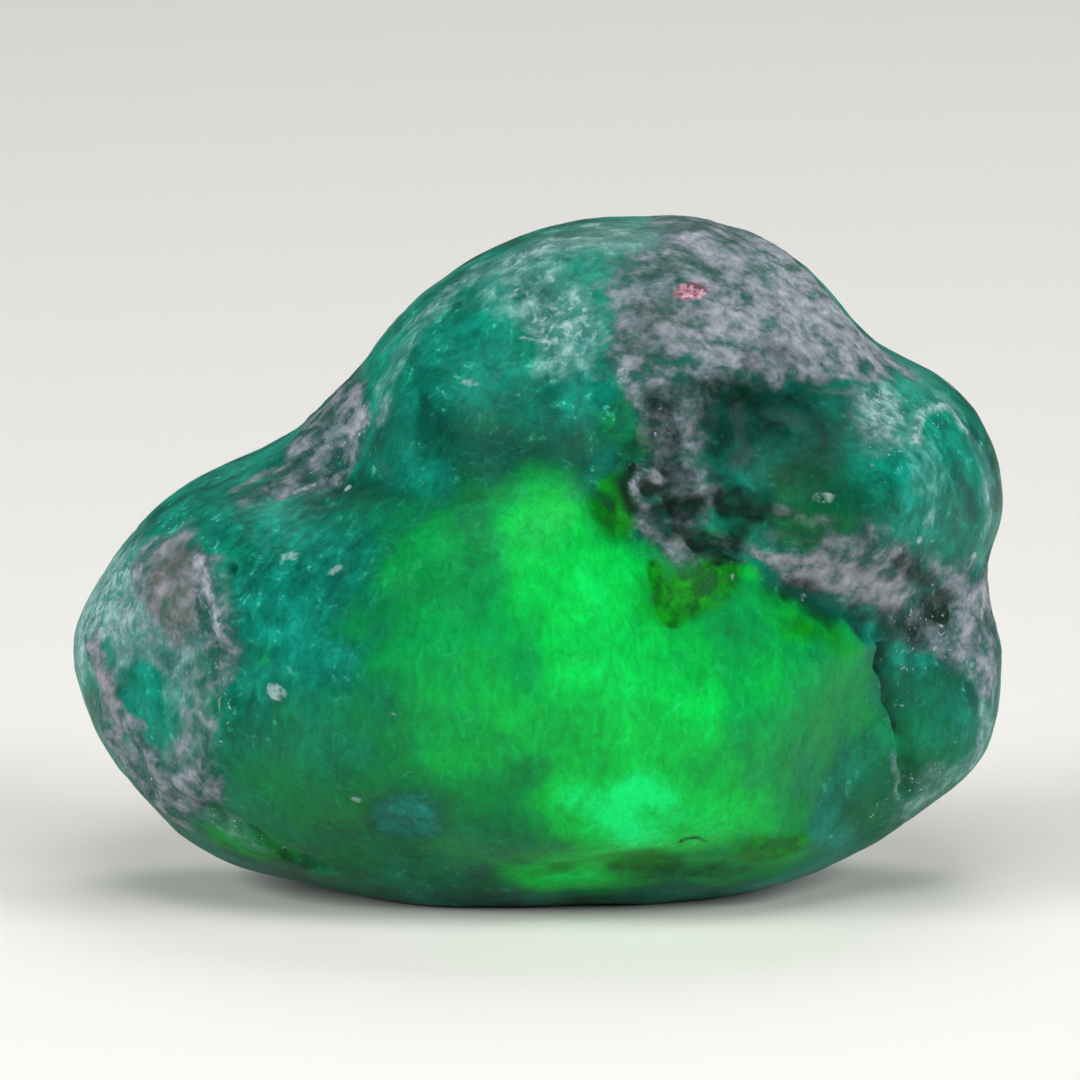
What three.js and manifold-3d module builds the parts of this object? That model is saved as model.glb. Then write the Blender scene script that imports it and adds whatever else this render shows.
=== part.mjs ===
// A tumbled pebble of emerald in mica schist, standing on the worn flat of its underside.
// Millimetres, +Z up. The front, -Y, shows the emerald belly, with the schist seam above and to its right.
// The origin is the middle of the stone's width and depth, on the surface that it rests on.
import * as THREE from "three";
import { mergeVertices } from "three/addons/utils/BufferGeometryUtils.js";
import Module from "manifold-3d";

const wasm = await Module();
wasm.setup();

const { degToRad, radToDeg, lerp, smoothstep } = THREE.MathUtils;

// The stone's main sizes
const HEART_HEIGHT = 6.4; // the point inside from which the whole surface can be seen
const FRONT_DEPTH = 6.4; // from the heart to the front face
const BACK_DEPTH = 6.0;
const TOP_LEAN = 0.1; // how far the stone leans back for each mm of height
const END_SWEEP = 0.012; // how far both ends bend back, for each square mm of distance
const SURFACE_DETAIL = 16; // 20 * (SURFACE_DETAIL + 1)^2 triangles on the whole stone

// How square the stone is from front to back, 2 being an ellipse: at mid-height, and at the underside
const GIRTH_SQUARENESS = 2.3;
const FRONT_UNDERSIDE_SQUARENESS = 2.05;
const BACK_UNDERSIDE_SQUARENESS = 2.9;

// The front view's outline, as x and z, clockwise from the left end. Below z = 0 it is worn flat.
const OUTLINE = [
  [-10.05, 5.3], [-9.7, 6.2], [-8.7, 7.6], [-7.4, 8.6], [-5.8, 9.25], [-4.75, 10.05],
  [-3.95, 10.9], [-3.2, 11.8], [-2.35, 12.75], [-1.25, 13.55], [0.05, 14.1], [1.5, 14.35],
  [3.05, 14.35], [4.55, 13.9], [5.9, 13.1], [6.9, 11.95], [7.65, 11.3], [8.5, 10.85],
  [9.3, 10.2], [9.7, 9.5], [9.95, 7.8], [9.5, 6.1], [9.85, 5.3], [9.9, 4.3],
  [9.6, 2.7], [8.2, 1.55], [6.7, 0.7], [5.2, 0.1], [3.2, -0.25], [0.5, -0.35],
  [-2.3, -0.3], [-4.5, 0.1], [-6.7, 0.65], [-8.1, 1.6], [-9.25, 2.85], [-9.95, 4.3],
];

// Lumps and hollows: centre x and z, half-length, half-width, turn in degrees, and height, which is below 0
// for a hollow
const FRONT_RELIEF = [
  [-2.0, 5.0, 5.0, 3.6, 0, 0.6], // belly
  [0.4, 12.0, 2.8, 2.0, 20, 0.35], // dome
  [-1.6, 9.6, 3.4, 0.9, 8, -0.55], // waist between the dome and the belly
  [-5.0, 9.3, 1.6, 0.9, 35, -0.5], // saddle at the upper left
  [6.9, 9.6, 2.2, 1.9, -10, 0.45], // upper right lobe
  [2.9, 8.9, 1.5, 1.3, 60, -1.1], // dark hollow in the middle
  [6.2, 7.3, 2.9, 0.7, -15, -0.6], // furrow to the notch at the right
  [4.4, 12.4, 2.6, 1.2, -15, -0.35], // dished roof of schist
  [8.4, 4.2, 1.5, 1.8, 0, 0.3], // lower right lobe
  [7.6, 4.1, 0.35, 2.0, 5, -0.4], // crack beside it
  [4.0, 4.8, 2.6, 2.2, 0, 0.3], // right half of the belly
  [-2.8, 2.3, 0.9, 0.7, 0, -0.3], // dimple low on the belly
  [1.5, 1.5, 3.6, 0.5, 4, -0.25], // undercut along the bottom
  [-6.9, 5.6, 0.4, 2.4, 4, 0.2], // rim of the schist on the left end
];
const BACK_RELIEF = [
  [-3.5, 6.0, 3.4, 3.0, 10, 0.6],
  [3.0, 11.6, 2.6, 2.0, -20, 0.4],
  [-1.0, 9.6, 3.2, 1.0, -25, -0.6],
  [5.8, 8.6, 2.2, 2.0, 20, 0.5],
  [4.0, 5.6, 3.2, 0.9, 25, -0.7],
  [3.6, 3.0, 2.6, 1.8, 0, 0.4],
  [-6.4, 2.6, 2.0, 1.3, 20, 0.7], // foot that shows past the front at the lower left
  [-2.0, 1.8, 1.6, 0.8, 0, -0.35],
];

// Worn facets: the way each faces, in degrees round from +X and up from level, and how far out it is
const FACETS = [
  [215, 5, 8.3], // left end, towards the front
  [250, 42, 6.7], // brow over the belly
  [130, 30, 7.6],
  [325, -20, 8.0], // lower right, towards the front
  [60, 10, 7.2],
  [95, -35, 5.9],
];
const FACET_SOFTNESS = 0.35;

// Ledges on the front: from one x and z to another, the drop below the line, and how far the drop fades out
const LEDGES = [
  [2.9, 11.3, 7.0, 11.4, 0.4, 1.8], // emerald under the schist roof
  [2.2, 7.2, 4.6, 6.2, 0.25, 1.2], // broken edge over the right half of the belly
  [-0.6, 1.6, 6.0, 1.4, 0.25, 0.8],
];

// Veins of schist, as points along each on the surface: degrees round from +X and up from level, seen from
// the heart, then the vein's half-width and depth there
const SEAM = [
  [347, 35, 1.0, 1.4], // tip over the upper right lobe
  [336, 41, 1.6, 1.8], // roof, its ragged lower edge first
  [314, 44, 1.7, 2.0],
  [326, 54, 2.1, 2.4],
  [298, 56, 1.6, 2.0],
  [295, 43, 1.4, 1.7], // strand down the front
  [293, 29, 1.2, 1.6],
  [301, 19, 1.2, 1.6], // dark hollow
  [311, 14, 0.9, 1.5],
  [322, 9, 0.9, 1.5], // lower band
  [336, 3, 1.0, 1.5],
  [352, -4, 1.4, 1.7], // notch at the right
  [12, -3, 1.2, 1.6],
  [32, 4, 1.2, 1.6], // round the back
  [52, 18, 1.4, 1.7],
  [64, 38, 1.7, 1.9],
  [50, 58, 1.8, 2.1],
  [358, 64, 1.8, 2.1],
  [351, 51, 1.7, 2.1], // right shoulder, back to the roof's tip
  [344, 41, 1.4, 1.8],
];
const SADDLE = [
  [201, 22, 0.8, 1.2],
  [202, 29, 1.0, 1.3],
  [203, 38, 1.4, 1.5],
  [172, 42, 1.2, 1.4],
  [152, 36, 1.0, 1.2],
];
const LEFT_END = [
  [196, 6, 0.9, 1.2],
  [204, 4, 1.3, 1.4],
  [213, -2, 1.1, 1.4],
  [214, -13, 0.8, 1.2],
  [211, -22, 0.9, 1.2],
  [198, -27, 0.9, 1.2],
  [193, -14, 0.8, 1.2],
];
const VEIN_WALL = 0.9; // share of a vein's half-width that its sloping wall takes
const VEIN_WANDER = 0.2; // how much its half-width varies
const VEIN_GAP = 0.25; // between the emerald and the schist on it
const UNCUT_TURN = 0.3; // radians that the uncut stone's triangles are turned from the cut one's

// Smooth noise from -1 to 1 at a point, from random heights at whole-number corners
function corner(i, j, k) {
  const wave = Math.sin(i * 127.1 + j * 311.7 + k * 74.7) * 43758.5453;
  return 2 * (wave - Math.floor(wave)) - 1;
}

function noise(x, y, z) {
  const [i, j, k] = [x, y, z].map(Math.floor);
  const [u, v, w] = [x - i, y - j, z - k].map((t) => t * t * (3 - 2 * t));
  const alongX = (b, c) => lerp(corner(i, j + b, k + c), corner(i + 1, j + b, k + c), u);
  const alongY = (c) => lerp(alongX(0, c), alongX(1, c), v);
  return lerp(alongY(0), alongY(1), w);
}

function directionOf(round, up) {
  const [turn, rise] = [degToRad(round), degToRad(up)];
  return new THREE.Vector3(Math.cos(rise) * Math.cos(turn), Math.cos(rise) * Math.sin(turn), Math.sin(rise));
}

// The outline's distance from the heart at each degree
const outlineCurve = new THREE.CatmullRomCurve3(
  OUTLINE.map(([x, z]) => new THREE.Vector3(x, z - HEART_HEIGHT, 0)), true, "centripetal");
const reachByDegree = new Float64Array(360);
for (const point of outlineCurve.getSpacedPoints(3600)) {
  const degree = Math.round(radToDeg(Math.atan2(point.y, point.x)) + 360) % 360;
  reachByDegree[degree] = Math.hypot(point.x, point.y);
}

function outlineReach(angle) {
  const degrees = (radToDeg(angle) + 360) % 360;
  const low = Math.floor(degrees) % 360;
  return lerp(reachByDegree[low], reachByDegree[(low + 1) % 360], degrees - Math.floor(degrees));
}

function relief(x, z, lumps) {
  let height = 0;
  for (const [cx, cz, long, wide, turn, rise] of lumps) {
    const angle = degToRad(turn);
    const along = (x - cx) * Math.cos(angle) + (z - cz) * Math.sin(angle);
    const across = (z - cz) * Math.cos(angle) - (x - cx) * Math.sin(angle);
    height += rise * Math.exp(-((along / long) ** 2) - (across / wide) ** 2);
  }
  return height;
}

function ledgeDrop(x, z) {
  let height = 0;
  for (const [x0, z0, x1, z1, drop, fade] of LEDGES) {
    const length = Math.hypot(x1 - x0, z1 - z0);
    const along = ((x - x0) * (x1 - x0) + (z - z0) * (z1 - z0)) / length;
    const below = ((x - x0) * (z1 - z0) - (z - z0) * (x1 - x0)) / length;
    const past = Math.max(0, -along, along - length);
    if (below > 0) height -= drop * smoothstep(below, 0, 0.3) * Math.exp(-below / fade - past);
  }
  return height;
}

function facetReach(direction, reach) {
  let made = reach;
  for (const [round, up, distance] of FACETS) {
    const facing = direction.dot(directionOf(round, up));
    if (facing <= 0.05) continue;
    const plane = distance / facing;
    const blend = Math.max(0, 1 - Math.abs(made - plane) / (2 * FACET_SOFTNESS));
    made = Math.min(made, plane) - (FACET_SOFTNESS / 2) * blend * blend;
  }
  return made;
}

// The stone's surface point in a direction from the heart
function surfacePoint(direction) {
  const isFront = direction.y < 0;
  const side = Math.abs(direction.y);
  const underside = isFront ? FRONT_UNDERSIDE_SQUARENESS : BACK_UNDERSIDE_SQUARENESS;
  const squareness = lerp(GIRTH_SQUARENESS, underside, smoothstep(-direction.z, 0, 1));
  const outline = Math.sqrt(1 - side * side) / outlineReach(Math.atan2(direction.z, direction.x));
  const depth = side / (isFront ? FRONT_DEPTH : BACK_DEPTH);
  let reach = (outline ** squareness + depth ** squareness) ** (-1 / squareness);

  const x = reach * direction.x;
  const z = HEART_HEIGHT + reach * direction.z;
  const inward = smoothstep(side, 0.08, 0.5);
  reach += inward * (isFront ? relief(x, z, FRONT_RELIEF) + ledgeDrop(x, z) : relief(x, z, BACK_RELIEF));
  reach = lerp(reach, facetReach(direction, reach), inward);

  const point = direction.clone().multiplyScalar(reach);
  const waves = 0.28 * noise(point.x / 2.6, point.y / 2.6, point.z / 2.6);
  const ripples = 0.1 * noise(point.x / 1.1 + 7, point.y / 1.1, point.z / 1.1);
  point.addScaledVector(direction, (0.3 + 0.7 * inward) * (waves + ripples));
  point.y += TOP_LEAN * point.z + END_SWEEP * (point.x * point.x - 30);
  point.z = Math.max(0, point.z + HEART_HEIGHT);
  return point;
}

// A vein's points, each with its place on the surface
function veinCourse(points) {
  return points.map(([round, up, halfWidth, depth]) => {
    return { place: surfacePoint(directionOf(round, up)), halfWidth, depth };
  });
}

// How deep a vein is under a surface point
function veinDepth(point, course) {
  const wander = 1 + VEIN_WANDER * noise(point.x / 0.9, point.y / 0.9 + 5, point.z / 0.9);
  const nearest = new THREE.Vector3();
  let deepest = 0;
  for (let i = 1; i < course.length; i += 1) {
    const [from, to] = [course[i - 1], course[i]];
    const stretch = new THREE.Line3(from.place, to.place);
    const along = stretch.closestPointToPointParameter(point, true);
    const halfWidth = wander * lerp(from.halfWidth, to.halfWidth, along);
    const inside = 1 - stretch.at(along, nearest).distanceTo(point) / halfWidth;
    deepest = Math.max(deepest, lerp(from.depth, to.depth, along) * smoothstep(inside, 0, VEIN_WALL));
  }
  return deepest;
}

// The stone with its surface sunk by a depth that depends on the surface point. The turn gives the same
// shape other triangles, so that one stone cuts another cleanly.
function sunkStone(depthAt, turn = 0) {
  const sphere = new THREE.IcosahedronGeometry(1, SURFACE_DETAIL).rotateZ(turn);
  sphere.deleteAttribute("normal");
  sphere.deleteAttribute("uv");
  const mesh = mergeVertices(sphere, 1e-5);
  const position = mesh.getAttribute("position");
  for (let i = 0; i < position.count; i += 1) {
    const direction = new THREE.Vector3().fromBufferAttribute(position, i).normalize();
    const point = surfacePoint(direction);
    point.addScaledVector(direction, -depthAt(point));
    position.setXYZ(i, point.x, point.y, point.z);
  }
  return new wasm.Manifold(new wasm.Mesh({
    numProp: 3,
    vertProperties: position.array,
    triVerts: new Uint32Array(mesh.index.array),
  }));
}

function largestBody(solid) {
  return solid.decompose().sort((a, b) => b.volume() - a.volume())[0];
}

function meshOf(solid, name, material) {
  const cut = solid.getMesh();
  const geometry = new THREE.BufferGeometry();
  geometry.setAttribute("position", new THREE.BufferAttribute(cut.vertProperties, 3));
  geometry.setIndex(new THREE.BufferAttribute(cut.triVerts, 1));
  geometry.computeVertexNormals();
  const mesh = new THREE.Mesh(geometry, material);
  mesh.name = name;
  return mesh;
}

const emeraldGreen = new THREE.MeshStandardMaterial({ color: 0x0a7a56, roughness: 0.35, metalness: 0 });
const schistGrey = new THREE.MeshStandardMaterial({ color: 0x7d8083, roughness: 0.75, metalness: 0 });

const courses = {
  matrix_seam: veinCourse(SEAM),
  matrix_saddle: veinCourse(SADDLE),
  matrix_left_end: veinCourse(LEFT_END),
};
const whole = sunkStone(() => 0, UNCUT_TURN);
const emerald = sunkStone((point) => {
  return Math.max(...Object.values(courses).map((course) => veinDepth(point, course)));
});

const pebble = new THREE.Group();
pebble.add(meshOf(emerald, "emerald", emeraldGreen));
for (const [name, course] of Object.entries(courses)) {
  const schist = whole.subtract(sunkStone((point) => veinDepth(point, course) - VEIN_GAP));
  pebble.add(meshOf(largestBody(schist), name, schistGrey));
}

const { min, max } = whole.boundingBox();
pebble.position.set(-(min[0] + max[0]) / 2, -(min[1] + max[1]) / 2, 0);

export default pebble;
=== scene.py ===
# %% [markdown]
# Emerald in matrix
#
# A tumbled pebble of emerald about 20 mm wide, with a seam of grey mica schist, its matrix, running
# through it. The CAD frame gives the stone's real shape at a coarse step. This lesson keeps that shape
# and adds what the eye sees on the real thing: the worn surface, the ragged edge of the schist, and the
# zones of colour in the beryl.

# %% Load the frame
import math

import bmesh
import bpy
import numpy as np
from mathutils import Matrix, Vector
from mathutils.bvhtree import BVHTree


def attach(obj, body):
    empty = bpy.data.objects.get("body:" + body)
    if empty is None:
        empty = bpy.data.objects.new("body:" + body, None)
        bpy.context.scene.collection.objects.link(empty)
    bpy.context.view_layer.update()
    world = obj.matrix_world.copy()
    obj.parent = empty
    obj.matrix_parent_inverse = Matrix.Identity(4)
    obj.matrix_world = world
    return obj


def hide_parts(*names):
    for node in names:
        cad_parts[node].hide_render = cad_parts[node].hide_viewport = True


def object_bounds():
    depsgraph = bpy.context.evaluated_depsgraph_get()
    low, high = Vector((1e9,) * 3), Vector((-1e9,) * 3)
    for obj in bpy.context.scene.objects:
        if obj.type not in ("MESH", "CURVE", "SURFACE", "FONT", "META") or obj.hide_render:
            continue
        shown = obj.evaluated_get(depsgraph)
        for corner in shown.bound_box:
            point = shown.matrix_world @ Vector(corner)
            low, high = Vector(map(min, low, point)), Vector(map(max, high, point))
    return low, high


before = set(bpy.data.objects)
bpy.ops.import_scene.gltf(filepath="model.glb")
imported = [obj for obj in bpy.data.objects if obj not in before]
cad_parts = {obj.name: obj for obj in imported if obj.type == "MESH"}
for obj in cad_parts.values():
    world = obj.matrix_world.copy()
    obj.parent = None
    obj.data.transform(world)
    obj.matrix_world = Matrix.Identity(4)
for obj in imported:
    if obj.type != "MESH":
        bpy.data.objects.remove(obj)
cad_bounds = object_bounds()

MM = 0.001  # Blender works in metres here, and a stone is measured in millimetres
cad_low, cad_high = (np.array(corner) / MM for corner in cad_bounds)
print("CAD box in mm:", cad_low.round(2), "to", cad_high.round(2))

# %% [markdown]
# The camera comes first, because the colour zones further down are placed by where they show in the
# photograph. A close-up of a small stone is taken from far away for its size, so its perspective is weak.
# A long lens does the same here. The photograph looks down on the stone a little.

# %% Camera
PHOTO_SIZE = 1080  # pixels along each side of the photograph
PIXEL = 0.0215  # mm on the stone for each pixel
PHOTO_FOOT = 906  # pixel row of the stone's lowest point
PHOTO_MIDDLE = 538  # pixel column of the stone's middle
CAMERA_TILT = math.radians(9)
CAMERA_DISTANCE = 400.0  # mm
SENSOR = 36.0  # mm
NEAREST, FURTHEST = 10, 10000  # mm from the camera, between which it sees

right = np.array([1.0, 0.0, 0.0])
ahead = np.array([0.0, math.cos(CAMERA_TILT), -math.sin(CAMERA_TILT)])
upward = np.array([0.0, math.sin(CAMERA_TILT), math.cos(CAMERA_TILT)])

cad_points = np.concatenate([
    np.array([vertex.co for vertex in node.data.vertices]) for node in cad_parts.values()]) / MM
foot = (cad_points @ upward).min()
aim_across = (PHOTO_SIZE / 2 - PHOTO_MIDDLE) * PIXEL
aim_up = foot + (PHOTO_FOOT - PHOTO_SIZE / 2) * PIXEL
aim = right * aim_across + upward * aim_up
eye = aim - ahead * CAMERA_DISTANCE

camera_data = bpy.data.cameras.new("camera")
camera_data.sensor_width = SENSOR
camera_data.lens = SENSOR * CAMERA_DISTANCE / (PHOTO_SIZE * PIXEL)
camera_data.clip_start = NEAREST * MM
camera_data.clip_end = FURTHEST * MM
camera = bpy.data.objects.new("camera", camera_data)
camera.location = Vector(eye) * MM
camera.rotation_euler = (math.pi / 2 - CAMERA_TILT, 0, 0)
bpy.context.scene.collection.objects.link(camera)
bpy.context.scene.camera = camera
print("lens", round(camera_data.lens), "mm, stone's foot at", round(foot, 2), "mm up the picture")


# %% [markdown]
# Two tools tie the photograph to the solid stone. The first shoots a ray through a pixel and returns the
# point of the stone that it meets, so that a mark seen at that pixel sits on the stone, from whatever
# side it is viewed. The second is a smooth random field, which every natural surface below is built from.

# %% From a pixel to the stone
def shooting_target(nodes):
    """One search tree for all the CAD nodes, and the node that each of its triangles belongs to."""
    points, faces, owners = [], [], []
    for name, node in nodes.items():
        start = len(points)
        points += [vertex.co / MM for vertex in node.data.vertices]
        faces += [[start + index for index in face.vertices] for face in node.data.polygons]
        owners += [name] * len(node.data.polygons)
    return BVHTree.FromPolygons(points, faces), owners


target, owners = shooting_target(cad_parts)


INWARD = (1.0, 0.98, 0.96, 0.94)  # shares of the way out from the picture's middle, tried in turn


def on_stone(pixel):
    """The stone's surface point, in mm, that shows at a pixel. A pixel just off its edge is moved in."""
    across = (pixel[0] - PHOTO_SIZE / 2) * PIXEL
    down = (pixel[1] - PHOTO_SIZE / 2) * PIXEL
    for inward in INWARD:
        way = ahead * CAMERA_DISTANCE + inward * (right * across - upward * down)
        hit = target.ray_cast(Vector(eye), Vector(way).normalized())[0]
        if hit is not None:
            return np.array(hit)
    raise ValueError(f"pixel {pixel} isn't on the stone")


PHOTO_CENTRE = (PHOTO_SIZE / 2, PHOTO_SIZE / 2)
print("the photograph's centre is the stone's point", on_stone(PHOTO_CENTRE).round(2))


# %% Smooth noise
SCATTER = np.array([127.1, 311.7, 74.7])  # uneven, so that neighbouring corners get unlike values
SEED_TURN = 17.3  # how far a seed moves the wave
WAVE_STRETCH = 43758.5453  # large, so that only the wave's last digits are left, which look random
SEED_SHIFT = 3.7  # how far a seed moves the lumps


def corner_value(corner, seed):
    """A random value from -1 to 1 for a whole-number corner, the same each run."""
    wave = np.sin(corner @ SCATTER + seed * SEED_TURN) * WAVE_STRETCH
    return 2 * (wave - np.floor(wave)) - 1


def wobble(points, size, seed, octaves=1):
    """Smooth noise from about -1 to 1, with lumps of the given size in mm. Each octave adds finer lumps."""
    total = np.zeros(len(points))
    for octave in range(octaves):
        scaled = points * 2**octave / size + seed * SEED_SHIFT
        cell = np.floor(scaled)
        part = step(scaled - cell, 0, 1)
        value = 0
        for corner in np.ndindex(2, 2, 2):
            weight = np.prod(np.where(corner, part, 1 - part), axis=1)
            value = value + weight * corner_value(cell + corner, seed + octave)
        total += value / 2**octave
    return total


def step(value, start, end):
    """0 below start, 1 above end, and a smooth rise between them."""
    t = np.clip((value - start) / (end - start), 0, 1)
    return t * t * (3 - 2 * t)


# %% [markdown]
# The stone's skin starts as a cube whose faces are cut into a fine grid and then blown up to a ball.
# Unlike a ball of rings, it has no poles where its faces crowd. Each of its points is dropped on the CAD
# stone from outside, and the coarse facets and the narrow gaps between the CAD pieces are then smoothed
# away.

# %% A ball made of six grids
GRID = 126  # cells along each side of the cube: 2 * 6 * GRID^2 triangles
HEART = np.array([0.013, 0.547, 6.389])  # mm, a point inside, from which the whole surface can be seen
GIRTH = np.array([9.0, 7.0, 7.0])  # mm, so that the ball's points spread evenly over the long stone


def ball_of_grids():
    """A cube-shaped ball's directions, faces and edges."""
    mesh = bmesh.new()
    bmesh.ops.create_cube(mesh, size=2)
    bmesh.ops.subdivide_edges(mesh, edges=mesh.edges[:], cuts=GRID - 1, use_grid_fill=True)
    points = np.array([vertex.co for vertex in mesh.verts])
    points = np.tan(points * math.pi / 4) * GIRTH
    faces = np.array([[vertex.index for vertex in face.verts] for face in mesh.faces])
    edges = np.array([[vertex.index for vertex in edge.verts] for edge in mesh.edges])
    mesh.free()
    return points / np.linalg.norm(points, axis=1)[:, None], faces, edges


ways, faces, edges = ball_of_grids()
print(len(ways), "points,", 2 * len(faces), "triangles")

# %% The ball dropped on the stone
OUTSIDE = 40  # mm, further out than any point of the stone
reach = np.zeros(len(ways))
owner = np.empty(len(ways), dtype=object)
for index, way in enumerate(ways):
    hit, _, face, _ = target.ray_cast(Vector(HEART + way * OUTSIDE), Vector(-way))
    reach[index] = (hit - Vector(HEART)).length
    owner[index] = owners[face]
print("the CAD's surface is", reach.min().round(2), "to", reach.max().round(2), "mm from the heart")


# %% Smoothing over the grid
CLOSING_PASSES = 5  # enough to bridge the gap between two CAD pieces
SMOOTHING_PASSES = 14


def spread(values, best):
    """Each point takes the best value among its neighbours and its own."""
    made = values.copy()
    best.at(made, edges[:, 0], values[edges[:, 1]])
    best.at(made, edges[:, 1], values[edges[:, 0]])
    return made


def smoothed(values, passes):
    """Each point moves to the mean of its neighbours and itself, over and over."""
    count = 1 + np.bincount(edges.ravel(), minlength=len(values))
    for _ in range(passes):
        around = np.bincount(edges[:, 0], values[edges[:, 1]], len(values))
        around += np.bincount(edges[:, 1], values[edges[:, 0]], len(values))
        values = (values + around) / count
    return values


for best in (np.maximum, np.minimum):
    for _ in range(CLOSING_PASSES):
        reach = spread(reach, best)
reach = smoothed(reach, SMOOTHING_PASSES)
skin = HEART + ways * reach[:, None]
skin[:, 2] = np.maximum(skin[:, 2], 0)
print("skin from", skin.min(0).round(2), "to", skin.max(0).round(2))

# %% [markdown]
# Marks are how this lesson draws on the stone. A patch is a soft oval and a stroke a soft line, both
# placed by pixels but measured on the stone in mm. Their edges are frayed with noise, because no natural
# edge is smooth. A mark's share says how strongly it shows.

# %% Patches and strokes
FRAYING = 0.6  # how far the noise moves an edge, as a share of the mark
FRAY = FRAYING * wobble(skin, size=0.9, seed=5, octaves=4)
FINE_FRAY = FRAYING * wobble(skin, size=0.35, seed=6, octaves=3)
DEPTH_SHARE = 1.2  # a patch that is given no depth goes in a little further than it is long


def patch(pixel, long, wide, turn=0, depth=None, soft=0.5, fray=0.5, share=1.0):
    """A soft oval round the stone's point at a pixel, with half-axes in mm and a turn in degrees."""
    away = skin - on_stone(pixel)
    angle = math.radians(turn)
    across, up = away @ right, away @ upward
    along = across * math.cos(angle) + up * math.sin(angle)
    athwart = up * math.cos(angle) - across * math.sin(angle)
    inward = (away @ ahead) / (depth or DEPTH_SHARE * max(long, wide))
    distance = np.sqrt((along / long) ** 2 + (athwart / wide) ** 2 + inward**2) + fray * FRAY
    return share * (1 - step(distance, 1 - soft, 1 + soft))


def stroke(pixels, width, soft=0.5, fray=0.7, share=1.0):
    """A soft line along pixels, with a half-width in mm."""
    stops = [on_stone(pixel) for pixel in pixels]
    nearest = np.full(len(skin), np.inf)
    for start, end in zip(stops, stops[1:]):
        line = end - start
        along = np.clip((skin - start) @ line / (line @ line), 0, 1)
        nearest = np.minimum(nearest, np.linalg.norm(skin - start - along[:, None] * line, axis=1))
    distance = nearest / width + fray * FINE_FRAY
    return share * (1 - step(distance, 1 - soft, 1 + soft))


def overlay(masks):
    """Several masks as one: each shows through what the others leave."""
    left = np.ones(len(skin))
    for mask in masks:
        left = left * (1 - np.clip(mask, 0, 1))
    return 1 - left


# %% [markdown]
# Emerald isn't one green. The heart of this stone is clear and lets the most light through. Its bright,
# grassy green, with a plume that rises to the left of the seam, is painted glow: light shining up through
# the clear heart, drawn as colour. Towards the ends it turns to a cloudy blue-green. These zones go right
# through the stone, so their marks are given a depth.

# %% The clear heart's painted glow
PAINTED_GLOW = {
    "heart": patch((640, 705), long=3.3, wide=2.7, depth=9, soft=0.75, share=0.74),
    "upper_heart": patch((590, 605), long=2.1, wide=2.1, turn=-20, depth=7, soft=0.7, share=0.74),
    "plume": patch((545, 530), long=1.1, wide=1.4, depth=5, fray=0.7, share=0.62),
    "plume_left": patch((455, 560), long=1.7, wide=1.5, depth=5, soft=0.9, share=0.46),
    "foot": patch((645, 808), long=2.6, wide=1.2, depth=9, soft=0.95),
    "left_haze": patch((470, 690), long=2.3, wide=3.4, depth=8, soft=0.9, share=0.54),
    "right_haze": patch((770, 705), long=2.5, wide=2.7, depth=6, soft=0.6, share=0.54),
    "right_strip": patch((800, 625), long=1.5, wide=0.6, turn=-25, depth=3, share=0.6),
    "lower_body": patch((420, 800), long=6.2, wide=2.4, turn=-3, depth=7, soft=0.7, share=0.3),
    "lower_right": patch((890, 760), long=1.9, wide=2.0, depth=5, soft=0.6, share=0.26),
    "brow": patch((400, 505), long=2.2, wide=0.7, depth=4, soft=0.8, share=0.22),
    "lobe": patch((830, 500), long=1.8, wide=1.0, depth=3, soft=0.7, share=0.2),
    "dome_foot": patch((520, 425), long=2.8, wide=0.8, depth=4, soft=0.7, share=0.24),
    "left_bulge": patch((240, 845), long=1.0, wide=0.32, turn=-20, share=0.42),
    "foot_left": patch((585, 866), long=1.9, wide=0.6, turn=-4, share=0.75),
    "foot_right": patch((740, 862), long=2.2, wide=0.5, turn=6, share=0.46),
    "yellow_spot": patch((750, 572), long=0.36, wide=0.24, depth=1, share=0.85),
}
print(len(PAINTED_GLOW), "clear places")

# %% Painted shade across the painted glow
SHADED = {
    "beside_plume": patch((680, 460), long=1.75, wide=1.7, depth=3, soft=0.2),
    "under_band": stroke([(700, 525), (735, 530), (797, 572), (860, 606), (930, 650)], width=0.5,
                         soft=0.4),
    "above_plume": patch((500, 395), long=3.4, wide=1.25, depth=3, soft=0.3, share=0.72),
    "dimple": patch((410, 812), long=0.7, wide=0.6, soft=0.35, share=0.8),
    "right_fan": patch((815, 745), long=1.2, wide=1.3, depth=3, soft=0.7, share=0.3),
}
BLEND_PASSES = 5
# The clear mask is the painted glow, less the painted shade across it.
clear = smoothed(np.max(list(PAINTED_GLOW.values()), axis=0) * (1 - overlay(SHADED.values())), BLEND_PASSES)
print("clear share of the skin", clear.mean().round(3))

# %% [markdown]
# Between the clear heart and the dull ends lie places of a brighter blue-green, where veils of fluid
# bubbles lie close under the surface and send the light back.

# %% Bright veils
TEAL = {
    "left_body": patch((310, 610), long=1.9, wide=2.1, soft=0.9, share=0.62),
    "left_top": patch((290, 520), long=2.2, wide=0.6, turn=-5, soft=0.9, fray=0.8, share=0.4),
    "left_low": patch((370, 730), long=1.5, wide=0.9, soft=0.9, fray=1.0, share=0.35),
    "left_gap": patch((142, 693), long=0.55, wide=0.6, share=0.4),
    "dome": patch((455, 330), long=1.6, wide=1.1, turn=25, soft=0.9, fray=0.9, share=0.2),
    "dome_low": patch((582, 378), long=0.75, wide=0.8, soft=0.8, share=0.9),
    # The dimple's lighter teal is its frosted chip and a painted reflection of the light that the chip
    # catches.
    "dimple": patch((410, 812), long=0.72, wide=0.62, soft=0.35),
    "lobe_right": patch((925, 475), long=1.0, wide=1.7, soft=0.7, share=0.85),
    "lobe_top": patch((860, 385), long=1.3, wide=0.4, fray=0.9, share=0.5),
    "right_side": patch((905, 660), long=0.7, wide=0.5, fray=0.8, share=0.6),
    "right_foot": patch((900, 770), long=0.5, wide=1.0, turn=20, fray=0.8, share=0.45),
}
teal = overlay(TEAL.values())
print("teal share", teal.mean().round(3))
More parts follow.
